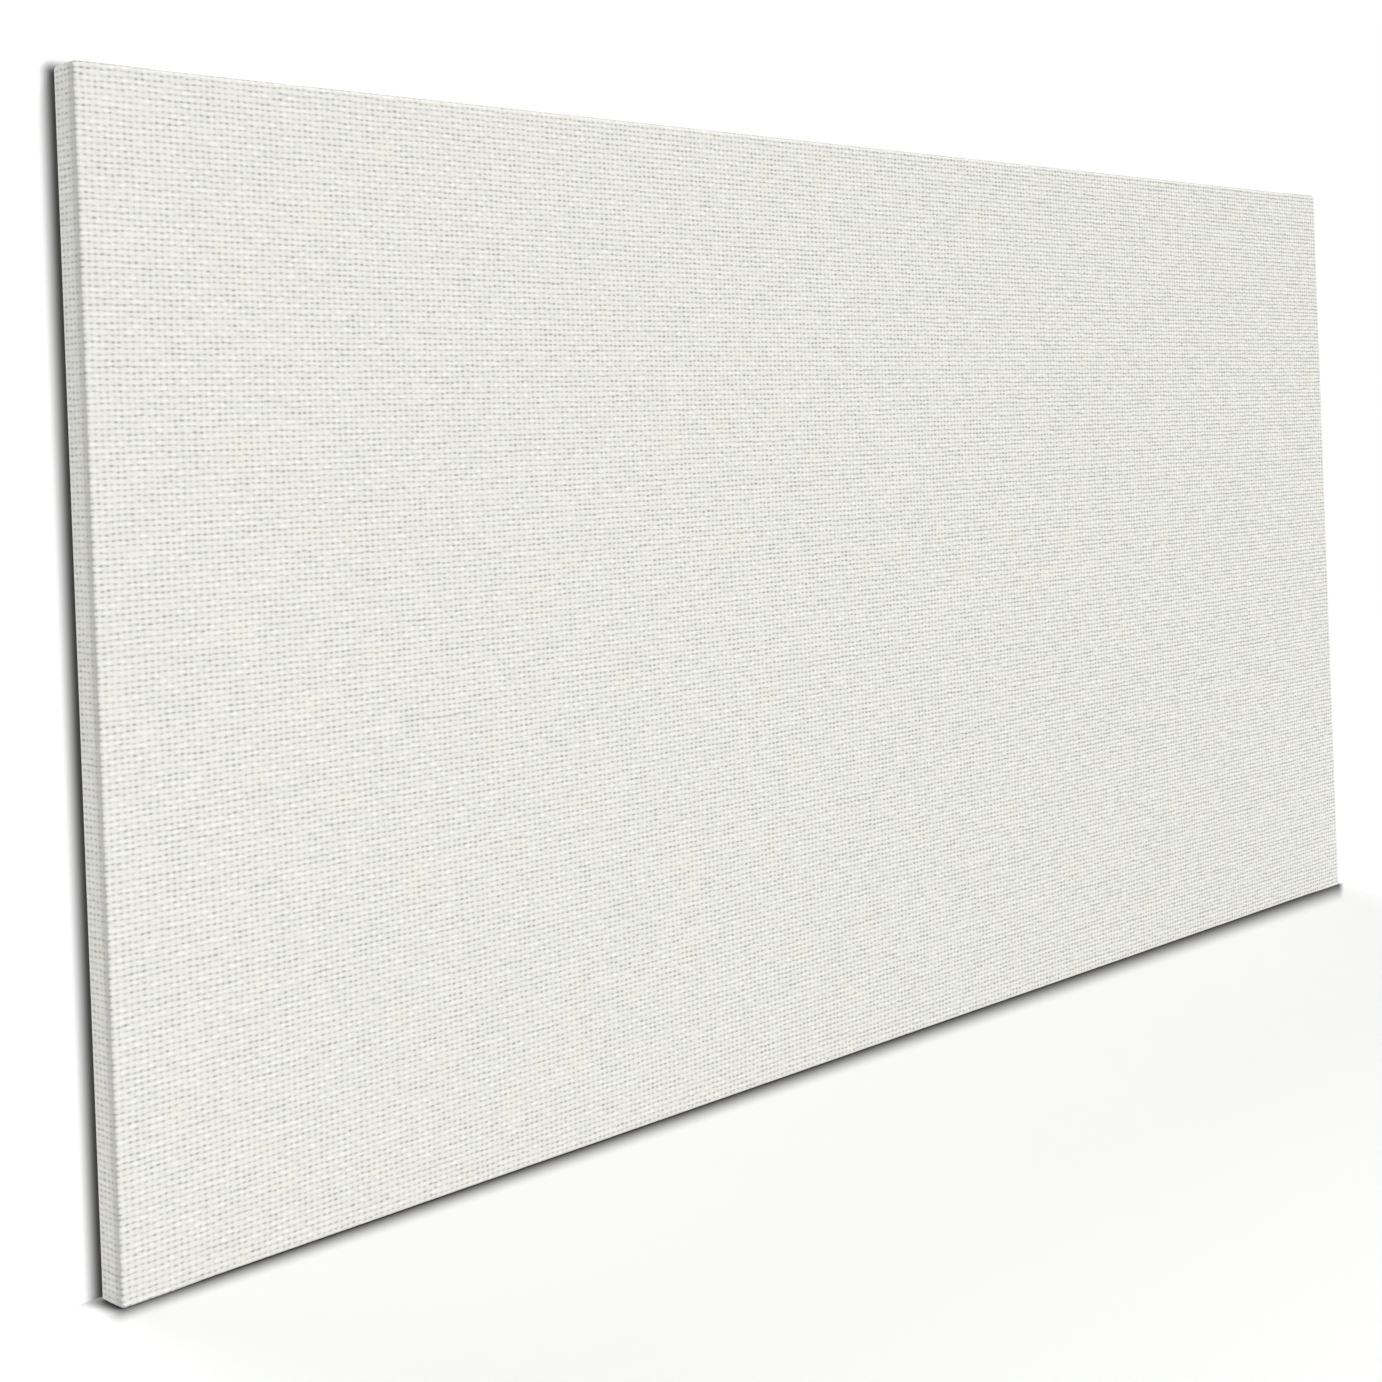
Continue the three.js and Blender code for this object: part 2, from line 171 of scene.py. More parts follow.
def cross_section():
    """The outer line of the wrapped cloth, from the front face to the cut edge at the back.

    Each row is (inset from the outline, depth, outward part of the normal, depth part of the normal).
    """
    rows = [(inset, FRONT, 0.0, -1.0) for inset in FACE_INSETS]
    turn = [math.pi / 2 * step / FOLD_STEPS for step in range(FOLD_STEPS + 1)]
    r = FOLD_RADIUS
    for a in turn:
        rows.append((r - r * math.sin(a), FRONT + r - r * math.cos(a), math.sin(a), -math.cos(a)))
    for step in range(1, SIDE_STEPS):
        share = step / SIDE_STEPS
        rows.append((0.0, FRONT + r + (DEPTH - 2 * r) * share, 1.0, 0.0))
    for a in turn:
        rows.append((r - r * math.cos(a), BACK - r + r * math.sin(a), math.cos(a), math.sin(a)))
    rows += [(inset, BACK, 0.0, 1.0) for inset in FLAP_INSETS]
    return np.array(rows)


INSET, LEVEL, NORMAL_OUT, NORMAL_BACK = cross_section().T
ROWS = len(INSET)


def arc_length():
    """How far each row is from the front edge along the cloth. It is negative on the front face."""
    steps = np.hypot(np.diff(INSET), np.diff(LEVEL))
    length = np.concatenate(([0], np.cumsum(steps)))
    return length - INSET[0]


ALONG_CLOTH = arc_length()


def corner_radius(row, at_top):
    """The corner's radius on this row, seen from the front."""
    largest = TOP_BACK_RADIUS if at_top else BOTTOM_BACK_RADIUS
    share = np.clip((LEVEL[row] - EASE_START) / (BACK - EASE_START), 0, 1)
    return max(CORNER_RADIUS + (largest - CORNER_RADIUS) * share - INSET[row], SHARP_CORNER)


# ---------------------------------------------------------------- the staples, from the frame

def staple_places():
    """The places of each side's staples along that side, measured from its middle."""
    sides = {side: [] for side in SIDE_LENGTH}
    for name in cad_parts:
        if not name.startswith("staple_"):
            continue
        low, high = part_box(name)
        centre = (low + high) / 2
        lies_across = high.x - low.x > high.z - low.z
        if lies_across:
            side = "top" if centre.z > MIDDLE else "bottom"
            sides[side].append(centre.x)
        else:
            side = "right" if centre.x > 0 else "left"
            sides[side].append(centre.z - MIDDLE)
    return {side: sorted(places) for side, places in sides.items()}


STAPLES = staple_places()
STAPLE_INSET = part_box("staple_bottom_1")[1].z - CLOTH_LOW.z


def near_staple(side, along, reach):
    """1 at a staple, and almost 0 at twice the reach from it."""
    off = min(abs(along - place) for place in STAPLES[side])
    return math.exp(-((off / reach) ** 2))


# ---------------------------------------------------------------- stations round the outline

def squeeze(distance, corner):
    """How far a station is from the end of a side, on a row whose corner takes up this much of the side."""
    drawn_in = corner + distance * (CORNER_ZONE - corner) / CORNER_ZONE
    return np.where(distance < CORNER_ZONE, drawn_in, distance)


def unsqueeze(distance, corner):
    """The station that squeeze puts at this distance."""
    stretched = (distance - corner) * CORNER_ZONE / (CORNER_ZONE - corner)
    return stretched if distance < CORNER_ZONE else distance


def stations(*sides):
    """Places along two like sides, from their middle, closest together at the corners and the staples."""
    half = SIDE_LENGTH[sides[0]] / 2
    special = set()
    for place in (p for side in sides for p in STAPLES[side]):
        for offset in STAPLE_STATIONS:
            from_end = unsqueeze(half - abs(place) + offset, STAPLE_INSET + SHARP_CORNER)
            special.add(round(math.copysign(half - from_end, place), HUNDREDTH_MM))
    for from_end in CORNER_STATIONS:
        special.update((round(half - from_end, HUNDREDTH_MM), round(from_end - half, HUNDREDTH_MM)))
    special = np.array(sorted(special))
    even = np.arange(-half + STATION_GAP, half - STATION_GAP / 2, STATION_GAP)
    clear = [p for p in even if np.abs(special - p).min() > STATION_CLEARANCE]
    merged = sorted([*special, *clear])
    kept = [merged[0]]
    for place in merged[1:]:
        if place - kept[-1] > LEAST_GAP:
            kept.append(place)
    return np.array(kept)


LONG_STATIONS = stations("top", "bottom")
SHORT_STATIONS = stations("left", "right")


class Column:
    """One line of cloth from the front face to the cut edge, on a side or on the turn of a corner."""

    def __init__(self, side, place=None, corner=None, angle=None):
        self.side = side
        self.place = place
        self.corner = corner
        self.angle = angle
        self.upright = side in UPRIGHT_SIDES


def loop_columns():
    """All columns in order round the outline, anticlockwise seen from the front, from the bottom left."""
    columns = []
    turn = [math.pi / 2 * step / ARC_STEPS for step in range(ARC_STEPS + 1)]
    sides = (
        ("bottom", LONG_STATIONS, (1, -1), -math.pi / 2),
        ("right", SHORT_STATIONS, (1, 1), 0.0),
        ("top", -LONG_STATIONS, (-1, 1), math.pi / 2),
        ("left", -SHORT_STATIONS, (-1, -1), math.pi),
    )
    for side, places, corner, start in sides:
        columns += [Column(side, place=place) for place in places]
        columns += [Column("corner", corner=corner, angle=start + a) for a in turn]
    return columns


COLUMNS = loop_columns()


def plan_point(column, row):
    """Where a column crosses a row, seen from the front from the canvas's middle, and its outward way."""
    if column.side == "corner":
        sx, sz = column.corner
        radius = corner_radius(row, sz > 0)
        reach = INSET[row] + radius
        way = np.array([math.cos(column.angle), math.sin(column.angle)])
        return np.array([sx * (WIDTH / 2 - reach), sz * (HEIGHT / 2 - reach)]) + radius * way, way
    half = SIDE_LENGTH[column.side] / 2
    at_top = column.side == "top" or (column.upright and column.place > 0)
    reach = INSET[row] + corner_radius(row, at_top)
    along = math.copysign(half - float(squeeze(half - abs(column.place), reach)), column.place)
    sign = 1 if column.side in ("right", "top") else -1
    if column.upright:
        return np.array([sign * (WIDTH / 2 - INSET[row]), along]), np.array([sign, 0.0])
    return np.array([along, sign * (HEIGHT / 2 - INSET[row])]), np.array([0.0, sign])


EDGE_WAVES = {side: wander(EDGE_SAMPLES, EDGE_WAVELENGTH, seed) for seed, side in enumerate(SIDE_LENGTH)}


def edge_wave(side, along):
    """A smooth random value for each place along a side's cut edge, between about -1 and 1."""
    return float(np.interp(along, EDGE_SAMPLES, EDGE_WAVES[side]))


def edge_rise(side, along):
    """How far the cut edge curls up here, away from any staple."""
    return EDGE_LIFT * (EDGE_EVEN + (1 - EDGE_EVEN) * edge_wave(side, along))


def along_side(column, plan):
    return plan[1] if column.upright else plan[0]


def trim(column, row, plan):
    """How far the cut edge wanders inwards from a straight line here."""
    if column.side == "corner":
        return 0.0
    along = along_side(column, plan)
    to_corner = SIDE_LENGTH[column.side] / 2 - FLAP_WIDTH - abs(along)
    share = smooth(WANDER_RISE, FLAP_WIDTH, INSET[row]) * smooth(*WANDER_FADE, to_corner)
    return EDGE_WANDER * share * edge_wave(column.side, -along)


def lift(column, row, plan):
    """How far the cloth stands off its flat wrap here: slack between staples, and the folded corners."""
    if column.side == "corner":
        return 0.0
    inset = INSET[row]
    along = along_side(column, plan)
    slack = 1 - near_staple(column.side, along, STAPLE_PULL)
    flap = FLAP_LIFT * smooth(*FLAP_RISE, inset) * max(NORMAL_BACK[row], 0)
    edge = edge_rise(column.side, along) * smooth(EDGE_RISE, FLAP_WIDTH, inset)
    total = slack * (flap + edge)
    if column.upright:
        return total
    from_fold = WIDTH / 2 - inset - corner_radius(row, column.side == "top") - abs(along)
    rolled = math.sqrt(max(0.0, 1 - (1 - min(from_fold / FOLD_ROLL, 1)) ** 2))
    step = FOLD_STEP * rolled * (1 - smooth(*FOLD_FADE, from_fold))
    pressed = near_staple(column.side, along, FOLD_HELD_REACH) * smooth(*FOLD_HELD_RISE, inset)
    on_back = NORMAL_BACK[row] > 0
    shown = 1.0 if on_back else NORMAL_OUT[row] * FOLD_ON_SIDES
    return total + step * (1 - FOLD_HELD * pressed) * shown


# ---------------------------------------------------------------- building the cloth

class ClothMesh:
    """Collects points, faces, each face's material and the weave's place at each of its corners."""

    def __init__(self):
        self.points = []
        self.faces = []
        self.materials = []
        self.weave = []

    def add_points(self, points):
        start = len(self.points)
        self.points.extend(points)
        return start

    def add_face(self, indices, places, material):
        """Adds a face without the corners that repeat the one before them, if three or more are left."""
        kept = [i for i in range(len(indices)) if indices[i] != indices[i - 1]]
        if len(kept) < 3:
            return
        self.faces.append([indices[i] for i in kept])
        self.weave.extend(places[i] for i in kept)
        self.materials.append(material)

    def build(self, name, materials):
        mesh = bpy.data.meshes.new(name)
        mesh.from_pydata(self.points, [], self.faces)
        for material in materials:
            mesh.materials.append(material)
        mesh.polygons.foreach_set("material_index", self.materials)
        mesh.polygons.foreach_set("use_smooth", [True] * len(self.faces))
        weave = mesh.attributes.new("weave", "FLOAT_VECTOR", "CORNER")
        weave.data.foreach_set("vector", np.array(self.weave, np.float32).ravel())
        mesh.validate()
        mesh.update()
        made = bpy.data.objects.new(name, mesh)
        bpy.context.scene.collection.objects.link(made)
        return made


PRIMED, RAW = 0, 1


def weave_place(side, point, row):
    """The place on the unfolded sheet, across and up, of a point on a row of the given side."""
    if side == "top":
        return (point[0], HEIGHT + ALONG_CLOTH[row], 0.0)
    if side == "bottom":
        return (point[0], -ALONG_CLOTH[row], 0.0)
    sign = 1 if side == "right" else -1
    return (sign * (WIDTH / 2 + ALONG_CLOTH[row]), point[2], 0.0)


def face_side(column, after):
    """Which side's cloth a face between two neighbouring columns is.

    A corner's cloth is that of the upright side next to it, which the other side folds over.
    """
    if column.side != "corner":
        return column.side
    if after.side != "corner":
        return after.side
    return "right" if column.corner[0] > 0 else "left"


def skins():
    """The wrap's outer and inner skin: for each row of the cross-section, a ring with a point a column."""
    outer = np.zeros((ROWS, len(COLUMNS), 3))
    normal = np.zeros_like(outer)
    for c, column in enumerate(COLUMNS):
        for row in range(ROWS):
            plan, way = plan_point(column, row)
            plan = plan - way * trim(column, row, plan)
            normal[row, c] = (way[0] * NORMAL_OUT[row], NORMAL_BACK[row], way[1] * NORMAL_OUT[row])
            outer[row, c] = (plan[0], LEVEL[row], plan[1] + MIDDLE)
            outer[row, c] += lift(column, row, plan) * normal[row, c]
    return outer, outer - CLOTH * normal


def edge_rings(outer, inner):
    """The rings that round off the cut edge between the outer and the inner skin."""
    middle = (outer + inner) / 2
    deepest = FLAP_WIDTH + EDGE_WANDER
    on_upright = np.abs(middle[:, 0]) > WIDTH / 2 - deepest
    on_level = np.abs(middle[:, 2] - MIDDLE) > HEIGHT / 2 - deepest
    way = np.zeros_like(middle)
    way[:, 0] = -np.sign(middle[:, 0]) * on_upright
    way[:, 2] = -np.sign(middle[:, 2] - MIDDLE) * on_level
    way /= np.linalg.norm(way, axis=1, keepdims=True)
    return [outer + (inner - outer) * share + EDGE_BULGE * way for share in EDGE_TURNS]


def build_cloth(materials):
    """The wrapped shell: an outer skin, an inner skin a cloth's thickness inside it, and the cut edge."""
    cloth = ClothMesh()
    outer, inner = skins()
    edge = edge_rings(outer[-1], inner[-1])
    rings = [*outer, *edge, *inner[::-1]]
    rows = [*range(ROWS), *[ROWS - 1] * len(edge), *reversed(range(ROWS))]
    count = len(COLUMNS)
    starts = [cloth.add_points(ring.tolist()) for ring in rings[1:-1]]
    face = add_sheet(cloth, outer[0], PRIMED, True)
    inside = add_sheet(cloth, inner[0], RAW, False)
    indices = [face, *[range(start, start + count) for start in starts], inside]
    for k in range(len(rings) - 1):
        material = PRIMED if k < ROWS - 1 else RAW
        for c, column in enumerate(COLUMNS):
            after = (c + 1) % count
            side = face_side(column, COLUMNS[after])
            corners = ((k, c), (k + 1, c), (k + 1, after), (k, after))
            places = [weave_place(side, rings[ring][i], rows[ring]) for ring, i in corners]
            cloth.add_face([indices[ring][i] for ring, i in corners], places, material)
    return cloth.build("stretched_cloth", materials)


def add_sheet(cloth, ring, material, facing_front):
    """The flat sheet inside a ring. Returns the sheet's point at each column, for the wrap to join on."""
    low, high = ring.min(axis=0), ring.max(axis=0)
    xs = [low[0], *[point[0] for point, column in zip(ring, COLUMNS) if column.side == "bottom"], high[0]]
    zs = [low[2], *[point[2] for point, column in zip(ring, COLUMNS) if column.side == "right"], high[2]]
    start = cloth.add_points([(x, ring[0][1], z) for z in zs for x in xs])

    def index(i, j):
        return start + j * len(xs) + i

    for j in range(len(zs) - 1):
        for i in range(len(xs) - 1):
            corners = [(i, j), (i + 1, j), (i + 1, j + 1), (i, j + 1)]
            if not facing_front:
                corners.reverse()
            places = [(xs[a], zs[b], 0.0) for a, b in corners]
            cloth.add_face([index(a, b) for a, b in corners], places, material)
    return [index(i, j) for i, j in rim(len(xs) - 1, len(zs) - 1)]


def rim(last_x, last_z):
    """The rim of a grid of points in the order of the columns, each corner once for each of its columns."""
    turn = ARC_STEPS + 1
    return [
        *[(i, 0) for i in range(1, last_x)],
        *[(last_x, 0)] * turn,
        *[(last_x, j) for j in range(1, last_z)],
        *[(last_x, last_z)] * turn,
        *[(i, last_z) for i in reversed(range(1, last_x))],
        *[(0, last_z)] * turn,
        *[(0, j) for j in reversed(range(1, last_z))],
        *[(0, 0)] * turn,
    ]


# ---------------------------------------------------------------- frayed threads at the cut edge

def build_threads(material):
    """One loose thread end for each thread of the weave that the cut edge crosses."""
    rng = np.random.default_rng(THREAD_SEED)
    cloth = ClothMesh()
    for side, length in SIDE_LENGTH.items():
        pitch = ROW_PITCH if side in UPRIGHT_SIDES else COLUMN_PITCH
        half = length / 2 - FLAP_WIDTH - THREAD_MARGIN
        for along in np.arange(-half, half, pitch):
            along += rng.uniform(-THREAD_STRAY, THREAD_STRAY) * pitch
            reach = rng.gamma(*THREAD_LENGTHS) * MM + SHORTEST_THREAD
            sway = rng.uniform(-THREAD_SWAY, THREAD_SWAY)
            curl = rng.uniform(-THREAD_CURL, THREAD_CURL)
            add_thread(cloth, side, along, min(reach, LONGEST_THREAD), sway, curl)
    return cloth.build("frayed_threads", [material])


def add_thread(cloth, side, along, reach, sway, curl):
    """A thread that lies in the cloth's cut edge, at its middle, and points inwards from it."""
    sign = 1 if side in ("right", "top") else -1
    inset = FLAP_WIDTH - THREAD_ROOT + EDGE_WANDER * edge_wave(side, -along)
    slack = 1 - near_staple(side, along, STAPLE_PULL)
    level = BACK - CLOTH / 2 + slack * (FLAP_LIFT + edge_rise(side, along))
    if side in UPRIGHT_SIDES:
        root = Vector((sign * (WIDTH / 2 - inset), level, along + MIDDLE))
        way = Vector((-sign, 0, sway))
    else:
        root = Vector((along, level, sign * (HEIGHT / 2 - inset) + MIDDLE))
        way = Vector((sway, 0, -sign))
    centres = thread_points(root, way.normalized(), reach + THREAD_ROOT, curl)
    shares = [k / THREAD_RINGS for k in range(THREAD_RINGS + 1)]
    add_tube(cloth, centres, [THREAD_RADIUS * (1 - THREAD_TAPER * t ** 2) for t in shares])


def thread_points(root, way, length, curl):
    """The centre line of one loose thread: it leaves the cut edge, curls sideways and sinks to the wood."""
    points = []
    for step in range(THREAD_RINGS + 1):
        t = step / THREAD_RINGS
        bend = Vector((-way.z, 0, way.x)) * curl * length * t * t
        drop = Vector((0, -THREAD_DROP * t, 0))
        points.append(root + way * length * t + bend + drop)
    return points


def add_tube(cloth, centres, radii):
    """A closed tube along a line of centres."""
    rings = []
    for k, centre in enumerate(centres):
        ahead = centres[min(k + 1, len(centres) - 1)] - centres[max(k - 1, 0)]
        across = ahead.cross(Vector((0, 1, 0))).normalized()
        up = across.cross(ahead).normalized()
        ring = []
        for s in range(THREAD_SIDES):
            a = 2 * math.pi * s / THREAD_SIDES
            ring.append(tuple(centre + radii[k] * (across * math.cos(a) + up * math.sin(a))))
        rings.append(cloth.add_points(ring))
    faces = []
    for here, there in zip(rings, rings[1:]):
        for s in range(THREAD_SIDES):
            n = (s + 1) % THREAD_SIDES
            faces.append([here + s, there + s, there + n, here + n])
    faces.append([rings[0] + s for s in range(THREAD_SIDES)])
    faces.append([rings[-1] + s for s in reversed(range(THREAD_SIDES))])
    for indices in faces:
        places = [(cloth.points[i][0], cloth.points[i][2], 0.0) for i in indices]
        cloth.add_face(indices, places, 0)


# ---------------------------------------------------------------- materials

class Shader:
    """A material with a Principled surface, and short ways to add and join nodes."""

    def __init__(self, name):
        self.material = bpy.data.materials.new(name)
        self.material.use_nodes = True
        self.nodes = self.material.node_tree.nodes
        self.links = self.material.node_tree.links
        self.nodes.clear()
        self.surface = self.add("ShaderNodeBsdfPrincipled")
        self.output = self.add("ShaderNodeOutputMaterial")
        self.links.new(self.surface.outputs[0], self.output.inputs["Surface"])

    def add(self, kind, **settings):
        node = self.nodes.new(kind)
        for key, value in settings.items():
            setattr(node, key, value)
        return node

    def feed(self, socket, value):
        """Links a socket to another, or gives it a plain value."""
        if isinstance(value, bpy.types.NodeSocket):
            self.links.new(value, socket)
        else:
            socket.default_value = value

    def join(self, kind, values, **settings):
        """A node with its inputs fed in order."""
        node = self.add(kind, **settings)
        for socket, value in zip(node.inputs, values):
            self.feed(socket, value)
        return node

    def set(self, **inputs):
        """Sets the surface's inputs by name, with _ for each space."""
        for name, value in inputs.items():
            self.feed(self.surface.inputs[name.replace("_", " ")], value)

    def math(self, operation, *values):
        return self.join("ShaderNodeMath", values, operation=operation).outputs[0]

    def times(self, a, b):
        return self.math("MULTIPLY", a, b)

    def plus(self, a, b):
        return self.math("ADD", a, b)

    def vector_math(self, operation, *values, output="Vector"):
        return self.join("ShaderNodeVectorMath", values, operation=operation).outputs[output]

    def vector(self, x, y, z):
        return self.join("ShaderNodeCombineXYZ", (x, y, z)).outputs[0]

    def separate(self, vector):
        return self.join("ShaderNodeSeparateXYZ", (vector,)).outputs

    def object_place(self):
        """The place on the piece, measured from its origin along its own axes."""
        return self.add("ShaderNodeTexCoord").outputs["Object"]

    def noise(self, vector, scale=1.0, detail=2.0):
        node = self.add("ShaderNodeTexNoise")
        self.feed(node.inputs["Vector"], vector)
        self.feed(node.inputs["Scale"], scale)
        self.feed(node.inputs["Detail"], detail)
        return node.outputs["Fac"]

    def ramp(self, value, low, high, start=0.0, end=1.0):
        """Carries value from low..high to start..end, smoothly and without going past either."""
        values = (value, low, high, start, end)
        return self.join("ShaderNodeMapRange", values, interpolation_type="SMOOTHSTEP").outputs[0]

    def mix(self, share, a, b):
        """The colour a, with a share of b mixed in."""
        node = self.add("ShaderNodeMix", data_type="RGBA")
        self.feed(node.inputs[0], share)
        self.feed(node.inputs[6], a)
        self.feed(node.inputs[7], b)
        return node.outputs[2]

    def bump(self, height, distance):
        node = self.add("ShaderNodeBump")
        self.feed(node.inputs["Height"], height)
        self.feed(node.inputs["Distance"], distance)
        return node.outputs["Normal"]


def colour(red, green, blue):
    return (red, green, blue, 1.0)


def grey(level):
    return colour(level, level, level)


def away_from(shader, point, half_size, unit=(1, 1, 1)):
    """How far a point is from a box of the given half size about the origin, counted in units."""
    spread = shader.vector_math("ABSOLUTE", point)
    beyond = shader.vector_math("SUBTRACT", spread, half_size)
    outside = shader.vector_math("MAXIMUM", beyond, (0, 0, 0))
    counted = shader.vector_math("DIVIDE", outside, unit)
    return shader.vector_math("LENGTH", counted, output="Value")


def wave_of(shader, phase):
    """1 where phase is a whole number, 0 half way between."""
    turned = shader.times(phase, 2 * math.pi)
    return shader.math("MULTIPLY_ADD", shader.math("COSINE", turned), 0.5, 0.5)


class Weave:
    """A plain weave as shader values: where the threads are, the gaps between rows, and chance by cell."""

    ROW_WAVER = 0.5  # how far a row of threads strays from its line, in rows
    COLUMN_SWAY = 0.7

    def __init__(self, shader):
        self.shader = shader
        self.place = shader.add("ShaderNodeAttribute", attribute_name="weave").outputs["Vector"]
        across, up, _ = shader.separate(self.place)
        self.across = shader.math("DIVIDE", across, COLUMN_PITCH)
        self.up = shader.math("DIVIDE", up, ROW_PITCH)
        waver = self.off_middle(0.12, 0.5, 0.0, detail=3.0)
        sway = self.off_middle(0.5, 0.13, 7.0)
        self.row = shader.math("MULTIPLY_ADD", waver, self.ROW_WAVER, self.up)
        self.column = shader.math("MULTIPLY_ADD", sway, self.COLUMN_SWAY, self.across)
        over = shader.math("SINE", shader.times(self.row, math.pi))
        under = shader.math("SINE", shader.times(self.column, math.pi))
        self.over = shader.times(over, under)  # above 0 where a row's thread is on top

    def drift(self, across, up, layer, detail=2.0):
        """Noise on the cloth, with its place counted in threads and stretched by a factor each way."""
        shader = self.shader
        place = shader.vector(shader.times(self.across, across), shader.times(self.up, up), layer)
        return shader.noise(place, 1.0, detail)

    def off_middle(self, across, up, layer, detail=2.0):
        """The same noise, about 0."""
        return self.shader.math("SUBTRACT", self.drift(across, up, layer, detail), 0.5)

    def chance(self, offset, layer):
        """Three random values that are the same all over one cell of the weave."""
        shader = self.shader
        row = shader.math("FLOOR", shader.plus(self.row, offset))
        column = shader.math("FLOOR", shader.plus(self.column, offset))
        node = shader.add("ShaderNodeTexWhiteNoise", noise_dimensions="3D")
        shader.feed(node.inputs["Vector"], shader.vector(column, row, layer))
        return shader.separate(node.outputs["Color"])

    def row_gap(self, nudge, sharpness):
        shader = self.shader
        return shader.math("POWER", wave_of(shader, shader.plus(self.row, nudge)), sharpness)

    def column_gap(self, sharpness):
        return self.shader.math("POWER", wave_of(self.shader, self.column), sharpness)

    def relief(self, gap, over_share, gap_depth, fibre_scale, fibre_share):
        """The height of the threads, less the gaps, with fine fibres on top."""
        shader = self.shader
        fibres = shader.noise(self.place, fibre_scale, 3.0)
        rise = shader.math("MULTIPLY_ADD", self.over, over_share, shader.times(gap, -gap_depth))
        return shader.math("MULTIPLY_ADD", fibres, fibre_share, rise)


WEAVE_RELIEF = 0.25 * MM

# A painted highlight on the tops of the threads.
PRIMER_HIGHLIGHT = colour(0.92, 0.913, 0.882)
PRIMER = colour(0.79, 0.783, 0.747)
PRIMER_WARM = colour(0.82, 0.82, 0.735)
# Painted shade in the gaps between the threads.
PRIMER_GAP_SHADE = colour(0.38, 0.38, 0.355)
# Painted shade in a strip on the canvas's sides just past the front fold, and where that strip begins and
# ends.
PRIMER_FOLD_SHADE = colour(0.30, 0.30, 0.285)
PAST_FOLD_UNEVEN = 1.6 * MM
PAST_FOLD_START = (0.2 * MM, 1.1 * MM)
PAST_FOLD_END = (1.5 * MM, 8.5 * MM)

COTTON = colour(0.66, 0.59, 0.47)
COTTON_PALE = colour(0.80, 0.745, 0.63)
# Painted shade on the threads that lie under, and in the gaps between the threads.
COTTON_UNDER_SHADE = colour(0.52, 0.45, 0.34)
COTTON_GAP_SHADE = colour(0.43, 0.36, 0.26)
HUSK = colour(0.30, 0.21, 0.12)


def fold_shade_strip(shader, weave):
    """How strongly a painted shade darkens the cloth in a strip on the sides, just past the front fold, with
    an uneven edge.
    """
    from_middle = shader.vector_math("SUBTRACT", weave.place, (0.0, MIDDLE, 0.0))
    inside_fold = (WIDTH / 2 - MM, HEIGHT / 2 - MM, 1.0)
    straight = away_from(shader, from_middle, inside_fold)
    uneven = weave.off_middle(0.55, 0.55, 17.0)
    past_fold = shader.math("MULTIPLY_ADD", uneven, PAST_FOLD_UNEVEN, straight)
    begins = shader.ramp(past_fold, *PAST_FOLD_START)
    ends = shader.ramp(past_fold, *PAST_FOLD_END, 0.42, 0.0)
    return shader.times(begins, ends)


def primed_gaps(shader, weave):
    """How open the primed weave is: short dashes between the rows, and faint lines between the columns. It
    sets the painted shade in the gaps, and their roughness and relief.
    """
    chance = weave.chance(0.5, 0.0)
    slow = shader.ramp(weave.drift(0.3, 0.5, 3.0), 0.3, 0.7, 0.7, 1.15)
    last = WIDTH / 2 / COLUMN_PITCH
    rightwards = shader.ramp(weave.across, -last, last, 0.78, 1.25)  # the painted shade in the gaps grows darker towards the right
    chosen = shader.times(shader.math("MULTIPLY_ADD", chance[0], 0.6, 0.6), rightwards)
    nudge = shader.math("MULTIPLY_ADD", chance[1], 0.2, -0.1)
    streak = shader.ramp(weave.drift(0.08, 0.9, 11.0), 0.5, 0.75, 0.28, 0.6)
    open_share = shader.math("MAXIMUM", weave.column_gap(0.75), streak)
    dashes = shader.times(weave.row_gap(nudge, 2.2), open_share)
    upright = shader.times(weave.column_gap(2.5), 0.13)
    return shader.times(shader.math("MAXIMUM", dashes, upright), shader.times(chosen, slow))


def primed_cloth():
    """White primed cloth: pale threads in rows with painted highlights on their tops, and painted shade in
    the short gaps strung between the rows.
    """
    shader = Shader("primed_cloth")
    weave = Weave(shader)
    gap = primed_gaps(shader, weave)
    cell = weave.chance(0.0, 5.0)
    # painted highlights on the tops of the threads, and on the threads that lie over
    crest_highlight = shader.times(weave.row_gap(0.5, 2.0), shader.ramp(cell[0], 0.3, 1.0))
    bright = shader.math("MULTIPLY_ADD", weave.over, 0.15, shader.times(crest_highlight, 0.65))
    thread = shader.mix(bright, PRIMER, PRIMER_HIGHLIGHT)
    patch = shader.ramp(shader.noise(weave.place, 42.0, 3.0), 0.5, 0.72, 0.0, 0.75)
    # painted shade in the gaps between the threads
    woven = shader.mix(gap, shader.mix(patch, thread, PRIMER_WARM), PRIMER_GAP_SHADE)
    shader.set(
        # painted shade on the sides next to the front fold
        Base_Color=shader.mix(fold_shade_strip(shader, weave), woven, PRIMER_FOLD_SHADE),
        Roughness=shader.ramp(gap, 0.0, 1.0, 0.78, 0.92),
        Specular_IOR_Level=0.3,
        Normal=shader.bump(weave.relief(gap, 0.28, 0.9, 3800.0, 0.22), WEAVE_RELIEF),
    )
    return shader.material


